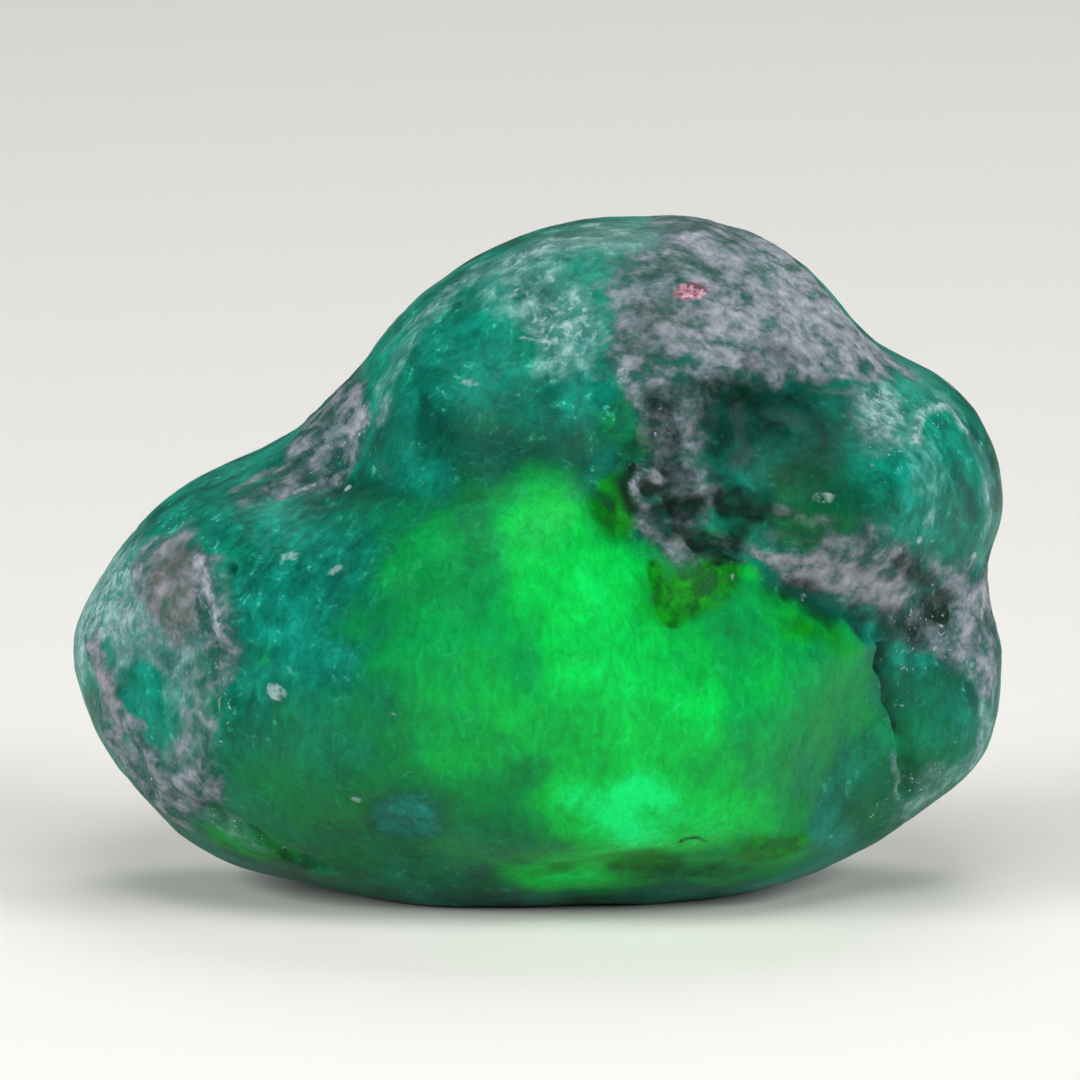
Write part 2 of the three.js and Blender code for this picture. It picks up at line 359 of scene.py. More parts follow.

# %% [markdown]
# Where dark mica lies behind the beryl, the green turns olive or almost black. Painted shade darkens it
# too: a painted shadow under the roof's overhanging edge, painted shade in the hollow and in a pit, and
# where a fracture cuts the light off.

# %% Olive places and painted shade
OLIVE_AND_SHADE = {
    # Painted shade where the fracture cuts the light off.
    "fracture": patch((690, 588), long=0.9, wide=0.55, turn=12, depth=1.5, soft=0.8),
    "fracture_edge": stroke([(652, 566), (660, 598), (671, 622)], width=0.18, soft=0.3, fray=0.3),
    "fracture_tip": stroke([(674, 612), (692, 604)], width=0.3),
    "beside_curl": patch((614, 506), long=0.55, wide=0.62, depth=1.5, share=0.95),
    "above_curl": patch((632, 432), long=0.9, wide=0.4, turn=-25, depth=1.5, soft=0.9, fray=0.9,
                        share=0.5),
    "beside_strand": patch((630, 402), long=0.3, wide=0.35, depth=1, soft=0.9, share=0.5),
    "strip": patch((808, 632), long=0.95, wide=0.3, turn=-25, depth=1.5, fray=0.8, share=0.75),
    "yellow_strip": stroke([(768, 598), (805, 612), (842, 630)], width=0.26, soft=0.8, share=0.5),
    "yellow_side": patch((718, 575), long=0.4, wide=0.35, depth=1.5, fray=0.8, share=0.75),
    "lobe_low": patch((812, 525), long=0.8, wide=0.42, turn=-10, depth=1.5, soft=0.9, fray=0.8,
                      share=0.45),
    "lobe_middle": patch((800, 472), long=0.6, wide=0.6, depth=1.5, soft=0.9, fray=0.8, share=0.32),
    "hollow": patch((735, 520), long=0.8, wide=0.5, depth=1.5, soft=0.9, fray=0.9, share=0.45),
    "left_spot": patch((264, 658), long=0.3, wide=0.24, soft=0.9, fray=0.8, share=0.35),
    "left_pit": patch((240, 550), long=0.4, wide=0.45, soft=0.9, fray=0.9, share=0.3),
    "left_foot": patch((290, 850), long=2.4, wide=0.35, turn=-14, soft=0.9, fray=0.9, share=0.4),
    "left_bulge": stroke([(205, 835), (245, 852), (285, 858)], width=0.1, share=0.8),
    "ledge_left": patch((560, 862), long=0.5, wide=0.2, turn=20, fray=1.1, share=0.7),
    "ledge_middle": patch((660, 862), long=0.9, wide=0.25, turn=-5, fray=1.1, share=0.85),
    "ledge_right": patch((770, 850), long=1.1, wide=0.25, turn=8, fray=1.1, share=0.8),
    "dome_foot": patch((530, 430), long=1.7, wide=0.3, turn=-8, soft=0.9, fray=0.9, share=0.22),
    "right_crack": patch((905, 785), long=0.25, wide=0.6, share=0.5),
}
olive_and_shade = overlay(OLIVE_AND_SHADE.values())
print("olive share", olive_and_shade.mean().round(3))

# %% Dark places and painted shade
DARK_AND_SHADE_MARKS = {
    "dome_foot": patch((470, 435), long=3.0, wide=0.9, turn=-4, soft=0.8, fray=0.9, share=0.42),
    "left_brow": patch((370, 492), long=2.0, wide=0.28, turn=-4, fray=0.9, share=0.45),
    # A painted shadow under the roof's overhanging lower edge.
    "gap_under_roof": stroke([(702, 386), (722, 394), (742, 388)], width=0.16, soft=0.8, fray=1.4),
    "under_roof": stroke([(745, 396), (800, 396), (850, 392)], width=0.25, soft=0.9, share=0.5),
    "behind_strand": patch((652, 398), long=0.4, wide=0.4, soft=0.8, fray=0.9, share=0.6),
    "lobe": patch((768, 425), long=1.9, wide=1.2, turn=-8, soft=0.6, fray=0.9, share=0.74),
    "lobe_low": patch((840, 510), long=1.4, wide=0.7, turn=-20, soft=0.8, fray=0.9, share=0.35),
    # Painted shade in the hollow, down to its foot and along the tongue.
    "hollow": stroke([(722, 492), (765, 512), (745, 540)], width=0.32, soft=0.9, fray=1.1),
    "hollow_foot": stroke([(695, 548), (735, 552)], width=0.24, soft=0.9, fray=1.1, share=0.9),
    "tongue": stroke([(655, 512), (690, 528), (720, 545)], width=0.32, soft=0.9, fray=1.1, share=0.85),
    "strand": stroke([(655, 405), (668, 440), (665, 465), (700, 508)], width=0.3, fray=1.2, share=0.7),
    "curl": patch((646, 489), long=0.62, wide=0.5, soft=0.3, fray=0.3, share=0.85),
    "under_band": stroke([(792, 590), (830, 608), (880, 622), (915, 640)], width=0.3, soft=0.9, fray=1.4,
                         share=0.75),
    "beside_band": stroke([(905, 562), (928, 580), (942, 606)], width=0.3, soft=0.9, fray=1.6, share=0.8),
    "notch": patch((925, 618), long=0.7, wide=0.35, share=0.6),
    "curl_outside": stroke([(632, 466), (624, 486), (631, 507)], width=0.1, fray=0.3),
    "curl_inside": patch((646, 489), long=0.18, wide=0.15, fray=0.2),
    "lower_left": patch((330, 815), long=2.8, wide=1.0, turn=-12, soft=0.8, fray=0.9, share=0.25),
    # Painted shade in the pit.
    "left_pit": patch((231, 572), long=0.13, wide=0.18),
    "right_crack": stroke([(884, 652), (890, 690), (903, 735)], width=0.12, share=0.8),
    "right_hollow": patch((885, 660), long=0.24, wide=0.24, share=0.9),
    "right_foot": patch((880, 800), long=1.2, wide=0.6, turn=30, fray=0.9, share=0.4),
    "foot_cracks": stroke([(680, 842), (694, 838), (706, 842)], width=0.06, fray=0.2),
    "ledge": patch((700, 872), long=2.0, wide=0.2, turn=3, fray=1.2, share=0.6),
    "roof_left": patch((640, 345), long=0.7, wide=0.9, fray=0.9, share=0.35),
}
CURL_RING = [(658, 480), (650, 473), (638, 475), (631, 486), (634, 498), (644, 504), (655, 499)]
curl_ring = stroke(CURL_RING, 0.1, soft=0.5, fray=0.6, share=0.8)
dark_and_shade = overlay(DARK_AND_SHADE_MARKS.values()) * (1 - curl_ring)
print("dark share", dark_and_shade.mean().round(3))

# %% [markdown]
# Tumbling bruises the beryl. Along the rims and on knocked corners it is milky, like the frosted edge of
# a piece of sea glass. The paler milky marks on the rims are also a painted sheen, the soft light that a
# frosted rim catches at a grazing angle. The photograph doesn't show the back, so its bruises are
# scattered by noise.

# %% Milky bruises and painted sheen
LOBE_CURL = [(915, 440), (920, 412), (945, 405), (965, 430)]
MILK_AND_SHEEN = {
    "dome_rim": stroke([(385, 385), (412, 335), (470, 275), (545, 243)], width=0.5, share=0.6),
    "dome_strip": stroke([(385, 348), (410, 322), (445, 300)], width=0.18, share=0.6),
    "dome_cap": patch((535, 285), long=1.4, wide=0.8, soft=0.7, fray=0.8, share=0.75),
    "dome_pale": patch((568, 335), long=0.7, wide=1.0, fray=0.7, share=0.85),
    "dome_low": patch((580, 372), long=0.6, wide=0.6, soft=0.9, share=0.3),
    "crest": patch((640, 240), long=2.2, wide=0.45, fray=0.8, share=0.65),
    "left_film": patch((105, 600), long=1.7, wide=0.8, turn=65, depth=3),
    "left_cheek": patch((155, 620), long=1.1, wide=1.9, turn=18, soft=0.6, fray=0.8, share=0.75),
    "left_low": patch((192, 745), long=0.8, wide=0.8, fray=0.9, share=0.55),
    "left_foot": stroke([(130, 740), (170, 790), (220, 820), (260, 850)], width=0.35, fray=1.1,
                        share=0.5),
    "saddle_side": patch((384, 405), long=0.22, wide=0.45, share=0.8),
    "lobe_rim": stroke([(905, 368), (960, 415), (985, 470), (990, 525)], width=0.35, fray=1.2, share=0.5),
    "lobe_mottles": patch((880, 408), long=0.55, wide=0.9, fray=0.9),
    "lobe_spots": patch((935, 475), long=0.7, wide=0.9, fray=1.2, share=0.45),
    "lobe_right": patch((985, 495), long=0.3, wide=0.4, share=0.8),
    "lobe_flecks": stroke([(738, 402), (744, 432), (736, 464)], width=0.22, fray=1.4, share=0.5),
    "lobe_low": patch((932, 518), long=0.3, wide=0.22, fray=1.2, share=0.8),
    "lobe_middle": patch((875, 450), long=0.35, wide=0.3, fray=1.2, share=0.6),
    "lobe_left": patch((780, 415), long=0.5, wide=0.25, turn=-20, fray=1.1, share=0.6),
    "lobe_curl": stroke(LOBE_CURL, width=0.13),
    "right_cheek": stroke([(968, 640), (985, 690), (975, 760)], width=0.5, fray=0.9, share=0.85),
    "right_low": patch((925, 795), long=0.9, wide=0.5, turn=35, fray=0.9, share=0.65),
    "right_streak": stroke([(893, 755), (900, 800)], width=0.1, share=0.9),
    "dimple": patch((410, 812), long=0.7, wide=0.55, soft=0.35, share=0.12),
}
GAPS_IN_MILK_AND_SHEEN = {
    "left_patch": patch((142, 693), long=0.55, wide=0.6, soft=0.3),
    "left_upper": patch((106, 658), long=0.22, wide=0.3, soft=0.3),
    "dome_front": patch((470, 345), long=0.9, wide=0.8, share=0.6),
}
BACK_BEGINS, BACK_REACHED = -1, 2  # mm behind the heart
BRUISING = 0.7  # share of a bruise at the back
back_side = step(skin[:, 1], HEART[1] + BACK_BEGINS, HEART[1] + BACK_REACHED)
back_bruises = BRUISING * back_side * step(FRAY + wobble(skin, size=3.0, seed=41), 0.2, 0.9)
milk_and_sheen = overlay([*MILK_AND_SHEEN.values(), back_bruises]) * (1 - overlay(GAPS_IN_MILK_AND_SHEEN.values()))
print("milky share", milk_and_sheen.mean().round(3))

# %% [markdown]
# The schist's place comes from the CAD nodes that the skin's points landed on. Smoothing that yes-or-no
# answer gives a ramp across each border. Thin films of schist run out over the emerald past the border,
# and in places bare beryl runs into the schist, so both are drawn as marks.

# %% Where the schist is
SCHIST_NODES = {  # the piece made here, and the CAD node it stands for
    "schist_seam": "matrix_seam", "schist_saddle": "matrix_saddle", "schist_left_end": "matrix_left_end"}
BORDER_PASSES = 8
body_of_schist = {
    piece: smoothed((owner == node).astype(float), BORDER_PASSES) for piece, node in SCHIST_NODES.items()}
schist = overlay(body_of_schist.values())
print("schist covers", round(100 * float((schist > 0.5).mean())), "% of the skin")

# %% Films of schist
ROOF_RIM = [(785, 250), (830, 305), (875, 352)]
LEFT_STREAKS = [(200, 560), (212, 595), (225, 632)]
SADDLE_TAIL = [(238, 486), (262, 474), (285, 468)]
FILM = {
    "roof": patch((765, 330), long=2.1, wide=1.1, turn=-8, soft=0.3),
    "roof_top": patch((755, 262), long=1.9, wide=0.7, turn=-25, fray=0.8),
    "roof_left": patch((650, 305), long=0.9, wide=1.6, soft=0.9, fray=1.0, share=0.85),
    "roof_rim": stroke(ROOF_RIM, width=0.9),
    "strand": stroke([(690, 395), (692, 440), (682, 470), (702, 490)], width=0.45, fray=1.1, share=0.65),
    "strand_foot": patch((686, 535), long=0.3, wide=0.4, fray=0.9, share=0.75),
    "band": stroke([(784, 550), (830, 570), (890, 592)], width=0.5, soft=0.25),
    "band_spur": patch((868, 545), long=0.25, wide=0.5, fray=0.9, share=0.75),
    "notch": stroke([(950, 605), (975, 600), (985, 575)], width=0.5, fray=0.9, share=0.9),
    "right_rim": stroke([(965, 630), (985, 690)], width=0.4, fray=0.9, share=0.6),
    "saddle": patch((335, 432), long=1.15, wide=0.85, turn=35, soft=0.3),
    "saddle_tail": stroke(SADDLE_TAIL, width=0.2, fray=1.2, share=0.5),
    "saddle_foot": stroke([(245, 498), (290, 478), (345, 470)], width=0.2, fray=1.1, share=0.45),
    "left_cheek": patch((150, 610), long=1.2, wide=1.9, turn=10, fray=0.9, share=0.35),
    "left_patch": patch((178, 585), long=0.7, wide=1.1, turn=12, soft=0.35, fray=0.7, share=0.9),
    "left_streaks": stroke(LEFT_STREAKS, width=0.12),
    "left_low": patch((195, 750), long=0.6, wide=0.8, fray=1.1, share=0.35),
    "left_vein": stroke([(92, 650), (115, 705), (150, 755), (190, 795)], width=0.34, fray=1.2, share=0.8),
}
print(len(FILM), "films")

# %% Bare beryl among the schist
BARE = {
    "yellow_spot": patch((750, 572), long=0.55, wide=0.32, share=0.95),
    "beside_curl": patch((605, 500), long=0.6, wide=1.0, share=0.9),
    "seam_side": stroke([(600, 400), (618, 440), (606, 470)], width=0.5, share=0.9),
    "fracture": patch((690, 598), long=1.1, wide=0.7, share=0.9),
    "under_band": stroke([(720, 580), (785, 608), (880, 640)], width=0.5, share=0.9),
    "hollow": stroke([(735, 515), (770, 530), (800, 540)], width=0.4, share=0.8),
    "lobe_side": stroke([(745, 405), (738, 450), (745, 490)], width=0.5, share=0.8),
    "under_roof": stroke([(735, 404), (780, 403), (850, 394)], width=0.35, share=0.9),
    "left_patch": patch((142, 693), long=0.5, wide=0.55, soft=0.3, share=0.9),
    "left_end": patch((200, 715), long=0.8, wide=1.6, turn=5, soft=0.6, fray=0.9, share=0.4),
    "roof_front": patch((592, 310), long=0.55, wide=1.8, soft=0.7, fray=0.8, share=0.7),
}
HAZE_PASSES = 40
SHOWING_PASSES = 5
WIDE_HAZE, NEAR_HAZE, MOTTLED_HAZE = 0.45, 0.25, 0.35  # past the border, inside it, and broken up by noise
haze = WIDE_HAZE * smoothed(schist, HAZE_PASSES) + NEAR_HAZE * step(schist, 0.3, 0.95)
haze = haze + MOTTLED_HAZE * FRAY * schist
film = np.maximum(overlay([*FILM.values(), haze]) * (1 - overlay(BARE.values())), curl_ring)
showing = smoothed(step(schist, 0.3, 0.7) * step(film, 0.25, 0.75), SHOWING_PASSES)
print("film share", film.mean().round(3), "and solid schist share", showing.mean().round(3))

# %% Pale and warm schist
LEFT_VEIN = [(98, 668), (115, 708), (140, 745)]
LOWER_BAND = [(785, 552), (830, 572), (890, 592)]
PALE = {
    "roof": patch((770, 342), long=2.1, wide=0.85, turn=-8, soft=0.7, fray=0.8),
    "roof_corner": patch((708, 248), long=0.6, wide=0.35, turn=-35, fray=0.9, share=0.8),
    "roof_top": patch((785, 285), long=1.0, wide=0.5, turn=-40, fray=0.9, share=0.8),
    "roof_rim": stroke(ROOF_RIM, width=0.7, share=0.7),
    "band": stroke(LOWER_BAND, width=0.45, fray=0.8, share=0.8),
    "notch": stroke([(965, 605), (985, 585)], width=0.4, share=0.5),
    "right_rim": stroke([(970, 640), (985, 690)], width=0.4, share=0.6),
    "curl": stroke(CURL_RING, width=0.12, fray=0.8, share=0.75),
    "strand": stroke([(688, 425), (690, 450), (702, 485)], width=0.2, fray=1.2, share=0.45),
    "left_cheek": patch((130, 600), long=1.0, wide=1.6, turn=10, share=0.35),
    "left_streaks": stroke(LEFT_STREAKS, width=0.14),
    "left_vein": stroke(LEFT_VEIN, width=0.24, fray=1.0),
    "left_low": patch((195, 750), long=0.6, wide=0.8, fray=1.1, share=0.4),
    "saddle": patch((340, 430), long=1.0, wide=0.7, turn=35, fray=0.8, share=0.25),
    "saddle_edge": stroke([(358, 395), (360, 430)], width=0.25, share=0.7),
    "saddle_tail": stroke(SADDLE_TAIL, width=0.16, share=0.5),
}
WARM = {
    "left_patch": patch((172, 585), long=0.6, wide=1.0, turn=12, share=0.8),
    "left_vein": stroke(LEFT_VEIN, width=0.26, fray=1.0, share=0.7),
    "saddle_tail": stroke(SADDLE_TAIL, width=0.25, share=0.5),
    "strand_foot": patch((686, 535), long=0.3, wide=0.35, share=0.8),
    "band": stroke(LOWER_BAND, width=0.5, share=0.4),
    "roof": patch((680, 325), long=1.0, wide=0.5, share=0.3),
}
pale = overlay(PALE.values())
warm = overlay(WARM.values())
print("pale share", pale.mean().round(3), "and warm share", warm.mean().round(3))

# %% [markdown]
# Small things catch the eye on a close-up: a pink grain in the roof, and white flakes and grains that
# stick in the rims and hollows. Some of the white marks are painted glints, small highlights drawn as
# colour.

# %% Grains, flakes and painted glints
PINK = {
    "roof_grain": patch((692, 290), long=0.4, wide=0.2, turn=15, soft=0.3),
}
FLAKES_AND_GLINTS = {
    # left_glint, brow, dome_pit, notch and under_band are painted glints rather than flakes.
    "left": patch((274, 690), long=0.26, wide=0.17, turn=-20, soft=0.3, fray=1.0),
    "left_upper": patch((290, 556), long=0.26, wide=0.1, share=0.6),
    "left_middle": patch((335, 570), long=0.2, wide=0.1, turn=30, share=0.6),
    "left_glint": patch((225, 573), long=0.05, wide=0.1),
    "ridge": stroke([(224, 700), (229, 730)], width=0.08, share=0.9),
    "brow": patch((345, 487), long=0.12, wide=0.12),
    "brow_left": stroke([(292, 492), (310, 484)], width=0.07, fray=1.2, share=0.7),
    "dome": patch((470, 384), long=0.2, wide=0.08, share=0.7),
    "dome_pit": stroke([(522, 338), (545, 342), (552, 325)], width=0.1, fray=1.1, share=0.55),
    "left_streak": stroke([(203, 560), (214, 595), (226, 630)], width=0.05, fray=0.9, share=0.6),
    "left_streak_low": stroke([(196, 588), (210, 612), (222, 636)], width=0.05, fray=0.9, share=0.5),
    "crest": patch((590, 226), long=0.25, wide=0.1, share=0.8),
    "foot": patch((356, 800), long=0.14, wide=0.08, turn=-20),
    "notch": patch((971, 556), long=0.18, wide=0.16),
    "seam_left": patch((622, 375), long=0.12, wide=0.3, share=0.8),
    "lobe": patch((823, 498), long=0.25, wide=0.14, fray=0.8, share=0.6),
    "lobe_low": patch((920, 540), long=0.14, wide=0.12, share=0.7),
    "lobe_curl": stroke(LOBE_CURL, width=0.08, fray=1.0, share=0.6),
    "under_band": patch((804, 597), long=0.16, wide=0.12, turn=40, fray=0.8, share=0.7),
    "body_speck": patch((393, 712), long=0.08, wide=0.08, share=0.8),
}
pink = overlay(PINK.values())
flakes_and_glints = overlay(FLAKES_AND_GLINTS.values())
print("pink share", pink.mean().round(4), "and flake share", flakes_and_glints.mean().round(4))

# %% Scattered white grit
SPECKLED = {
    "notch": patch((940, 620), long=1.2, wide=0.9),
    "left_ridge": stroke([(222, 660), (232, 730), (208, 775)], width=0.3, share=0.7),
    "left_foot": stroke([(130, 750), (175, 800), (225, 820), (270, 850)], width=0.4),
    "left_top": patch((170, 520), long=0.8, wide=0.3),
    "lobe": patch((935, 425), long=0.9, wide=0.8),
    "lobe_edge": patch((885, 450), long=0.5, wide=1.3, share=0.7),
    "roof": patch((790, 275), long=1.4, wide=0.6, turn=-35),
    "saddle": patch((350, 430), long=0.8, wide=0.8),
    "brow": patch((320, 482), long=1.2, wide=0.25, share=0.8),
    "right_foot": patch((905, 800), long=1.0, wide=0.6, turn=35),
    "seam_left": patch((640, 420), long=0.7, wide=1.2, share=0.6),
    "hollow": patch((735, 560), long=1.2, wide=0.5, share=0.5),
    "right_side": patch((900, 680), long=0.6, wide=1.2, share=0.6),
}
speckled = overlay([*SPECKLED.values(), 0.25 * step(FRAY, 0.1, 0.6)])
print("speckled share", speckled.mean().round(3))

# %% [markdown]
# The worn surface has relief at every size: broad dents, small pits where grains fell out, and a few
# chips and cracks. The schist is softer than the beryl, so it is rougher, and its lower edge under the
# roof is a small step.

# %% Dents and ridges
DENTS = {
    "hollow": stroke([(700, 522), (740, 522), (785, 542)], width=0.5, share=0.4),
    "dome_pit": patch((537, 326), long=0.3, wide=0.28, share=0.15),
    "right_crack": stroke([(884, 650), (890, 690), (903, 735), (908, 790)], width=0.16, share=0.22),
    "right_hollow": patch((885, 660), long=0.28, wide=0.3, share=0.2),
    "foot_crease": stroke([(205, 808), (260, 838), (320, 868)], width=0.2, share=0.15),
    "brow_groove": stroke([(250, 500), (310, 486), (380, 478)], width=0.25, share=0.12),
    "under_roof": stroke([(700, 390), (735, 391), (800, 388), (850, 380)], width=0.25, fray=1.2,
                         share=0.08),
    "left_pit": patch((232, 572), long=0.18, wide=0.22, share=0.12),
    "under_band": stroke([(790, 592), (830, 612), (880, 626)], width=0.28, share=0.12),
}
RIDGES = {
    "left_ridge": stroke([(215, 545), (232, 640), (232, 720), (212, 770)], width=0.25, share=0.12),
    "left_vein": stroke([(95, 650), (120, 700), (160, 765)], width=0.3, share=0.08),
    "lobe_curl": stroke(LOBE_CURL, width=0.14, share=0.05),
}
dents = sum(DENTS.values())
ridges = sum(RIDGES.values())

# %% Relief of the emerald
WAVE_RISE, PIT_DEPTH, BRUISE_RISE, FLAKE_RISE = 0.05, 0.06, 0.03, 0.04  # mm
waves = WAVE_RISE * wobble(skin, size=1.7, seed=3, octaves=4)
pitted = step(wobble(skin, size=0.45, seed=11, octaves=3), 0.6, 1.1)
pitted_places = step(wobble(skin, size=2.2, seed=12), -0.2, 0.6)
pits = PIT_DEPTH * pitted * pitted_places
bruise_grain = BRUISE_RISE * milk_and_sheen * wobble(skin, size=0.3, seed=13, octaves=2)
emerald_height = waves - pits - dents + ridges + bruise_grain + FLAKE_RISE * flakes_and_glints
print("emerald relief from", emerald_height.min().round(2), "to", emerald_height.max().round(2), "mm")

# %% Relief of the schist
SCHIST_SUNK = 0.15  # mm that one mineral's skin lies under the other's, away from their border
SCHIST_PROUD = 0.02  # mm
CURL_RISE = 0.08  # mm
GRAIN_RISE = 0.045  # mm
RAGGEDNESS = 0.12  # how far the noise moves the border, as a share of its ramp

grain = GRAIN_RISE * wobble(skin, size=0.55, seed=21, octaves=4) * step(showing, 0.6, 0.95)
curl = CURL_RISE * curl_ring
ragged = showing - 0.5 + RAGGEDNESS * wobble(skin, size=0.5, seed=31, octaves=4)
edge = SCHIST_PROUD * step(ragged, -0.1, 0.3) - SCHIST_SUNK * (1 - step(ragged, -0.5, 0.02))
schist_height = emerald_height + grain + curl + edge

under_schist = SCHIST_SUNK * step(showing, 0.72, 0.97)
off_floor = step(skin[:, 2], 0.05, 0.9)  # the worn flat underneath stays flat
emerald_skin = skin + ways * (off_floor * (emerald_height - under_schist))[:, None]
print("schist relief from", schist_height.min().round(2), "to", schist_height.max().round(2), "mm")


# %% Making a mesh object from arrays
def mesh_object(name, points, faces, masks):
    """A smooth-shaded object from points in mm, with each mask as a point attribute."""
    mesh = bpy.data.meshes.new(name)
    mesh.from_pydata((points * MM).tolist(), [], faces)
    mesh.shade_smooth()
    for mask_name, values in masks.items():
        attribute = mesh.attributes.new(mask_name, "FLOAT", "POINT")
        attribute.data.foreach_set("value", values.astype(np.float32))
    made = bpy.data.objects.new(name, mesh)
    bpy.context.scene.collection.objects.link(made)
    return made


zones = {"clear": clear, "teal": teal, "olive_and_shade": olive_and_shade, "dark_and_shade": dark_and_shade, "milk_and_sheen": milk_and_sheen, "film": film,
         "pale": pale, "warm": warm, "pink": pink, "flakes_and_glints": flakes_and_glints, "speckled": speckled}
emerald = mesh_object("emerald_pebble", emerald_skin, faces.tolist(), zones)
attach(emerald, "root")
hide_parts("emerald")
print("emerald_pebble:", len(faces) * 2, "triangles")

# %% [markdown]
# Each body of schist is a closed shell: an outer face, an inner face sunk in the emerald, and a wall
# round its border. It is cut from the same grid as the emerald, wider than it shows, and dives under the
# emerald at its border, so that the visible edge is wherever the two rough surfaces happen to cross.

# %% Schist bodies
SHELL_THICKNESS = 0.8  # mm
SHELL_MARGIN = 0.1  # how far down the border's ramp the shell still reaches


def shell(kept):
    """The points used and the outer, inner and wall faces of the kept part of the skin."""
    used = np.unique(faces[kept])
    place = np.full(len(skin), -1)
    place[used] = np.arange(len(used))
    outer = place[faces[kept]]
    inner = outer[:, ::-1] + len(used)
    sides = {tuple(side) for i in range(4) for side in outer[:, [i, (i + 1) % 4]].tolist()}
    border = [side for side in sides if side[::-1] not in sides]
    wall = [[b, a, a + len(used), b + len(used)] for a, b in border]
    return used, outer.tolist() + inner.tolist() + wall


for piece_name, node_name in SCHIST_NODES.items():
    used, shell_faces = shell((body_of_schist[piece_name] > SHELL_MARGIN)[faces].all(axis=1))
    outer_points = skin[used] + ways[used] * (off_floor * schist_height)[used][:, None]
    inner_points = skin[used] - ways[used] * SHELL_THICKNESS
    both = {name: np.tile(values[used], 2) for name, values in zones.items()}
    piece = mesh_object(piece_name, np.concatenate([outer_points, inner_points]), shell_faces, both)
    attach(piece, "root")
    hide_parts(node_name)
    print(piece_name, len(shell_faces), "faces")


# %% [markdown]
# Colours are written as the hex values that a picture editor shows. Shaders add light, so they need
# linear values, and one function turns the one into the other. A second function adds any node with its
# settings and links, and a third turns a mark of the stone into a share, its edge frayed by a pattern
# much finer than the mesh.

# %% Helpers for materials
PER_METRE = 1 / MM  # a texture scale of PER_METRE / s repeats about every s mm


def linear(colour):
    """A shader colour from an sRGB hex value, or from a grey between 0 and 1 that is linear already."""
    if not isinstance(colour, str):
        return (colour, colour, colour, 1.0)
    parts = [int(colour[i:i + 2], 16) / 255 for i in (1, 3, 5)]
    return tuple(c / 12.92 if c <= 0.04045 else ((c + 0.055) / 1.055) ** 2.4 for c in parts) + (1.0,)


def add(material, kind, links, out=0, stops=(), **settings):
    """Adds a node and returns one of its outputs, by name or number. links gives its inputs, each a
    value, a hex colour or another node's output. A colour ramp's stops pair a place with a colour."""
    tree = material.node_tree
    made = tree.nodes.new("ShaderNode" + kind)
    for name, value in settings.items():
        setattr(made, name, value)
    for name, value in links.items():
        if isinstance(value, bpy.types.NodeSocket):
            tree.links.new(value, made.inputs[name])
        else:
            made.inputs[name].default_value = linear(value) if isinstance(value, str) else value
    for _ in stops[2:]:
        made.color_ramp.elements.new(0.5)
    for index, (place, colour) in enumerate(stops):
        made.color_ramp.elements[index].position = place
        made.color_ramp.elements[index].color = linear(colour)
    return made.outputs[out] if made.outputs else made


COLOURS = (6, 7)  # a Mix node's two colour inputs come after those for numbers and vectors
MIXED_COLOUR = 2  # and its colour output after two others


def share_of(material, mark, grain, fray, start, end, most=1.0):
    """A mark as a share from 0 to most. The grain frays its edge, and the share rises from start to end."""
    mask = add(material, "Attribute", {}, out="Fac", attribute_name=mark)
    strength = add(material, "Math", {0: grain, 1: fray, 2: 1 - fray / 2}, operation="MULTIPLY_ADD")
    frayed = add(material, "Math", {0: mask, 1: strength}, operation="MULTIPLY")
    return add(material, "MapRange", {"Value": frayed, "From Min": start, "From Max": end, "To Max": most})


def new_material(name):
    """An empty node material."""
    material = bpy.data.materials.new(name)
    material.use_nodes = True
    material.node_tree.nodes.clear()
    return material


# %% [markdown]
# Beryl and schist grade into each other over a fraction of a millimetre: mica grows into the emerald, and
# green shines through thin mica. Both materials therefore share one set of patterns and colours, mixed by
# the marks from above, and differ in their bodies.
#
# The pits and grit that tumbling leaves and the tubes inside beryl are a few hundredths of a millimetre
# wide at most, one or two pixels of the picture. That is too fine to show, so pitting, grit, crumbs and
# fibres are drawn several times coarser here.

# %% Patterns in the stone
PATTERNS = {  # size in mm, detail, distortion, lean in degrees, squeeze along the lean
    "clouds": (1.9, 9, 0.3, 0, 1),
    "veils": (1.1, 9, 0.2, 0, 1),
    "wisps": (0.45, 8, 0.4, 0, 1),
    "fibres": (0.22, 6, 1.2, 35, 0.45),
    "crumbs": (0.17, 3, 0.3, 0, 1),
    "loops": (0.85, 1, 0.8, 0, 1),
    "breaks": (0.4, 2, 0.0, 0, 1),
    "grit": (0.13, 2, 0.4, 0, 1),
    "pitting": (0.12, 3, 0.0, 0, 1),
    "mica": (0.6, 8, 0.2, -28, 1.4),
}


def stone_patterns(material):
    """The stone's noise patterns, by name."""
    where = add(material, "TexCoord", {}, out="Object")
    made = {}
    for name, (size, detail, distortion, lean, squeeze) in PATTERNS.items():
        leaning = add(material, "Mapping", {
            "Vector": where, "Rotation": (0, math.radians(lean), 0), "Scale": (1, 1, squeeze)})
        made[name] = add(material, "TexNoise", {
            "Vector": leaning, "Scale": PER_METRE / size, "Detail": detail, "Roughness": 0.6,
            "Distortion": distortion})
    return made


# %% [markdown]
# The cloudy green of beryl comes from veils of tiny fluid bubbles and healed cracks. They show as soft
# clouds a millimetre or two across, and as short bright threads where a crack is seen on edge. Fine tubes
# and fibres lie everywhere along one direction of growth, and lighten or darken whatever green they lie
# in.

# %% Colours of the beryl
CLOUDY = [(0.3, "#023b30"), (0.42, "#024e40"), (0.53, "#026856"), (0.65, "#07806d")]
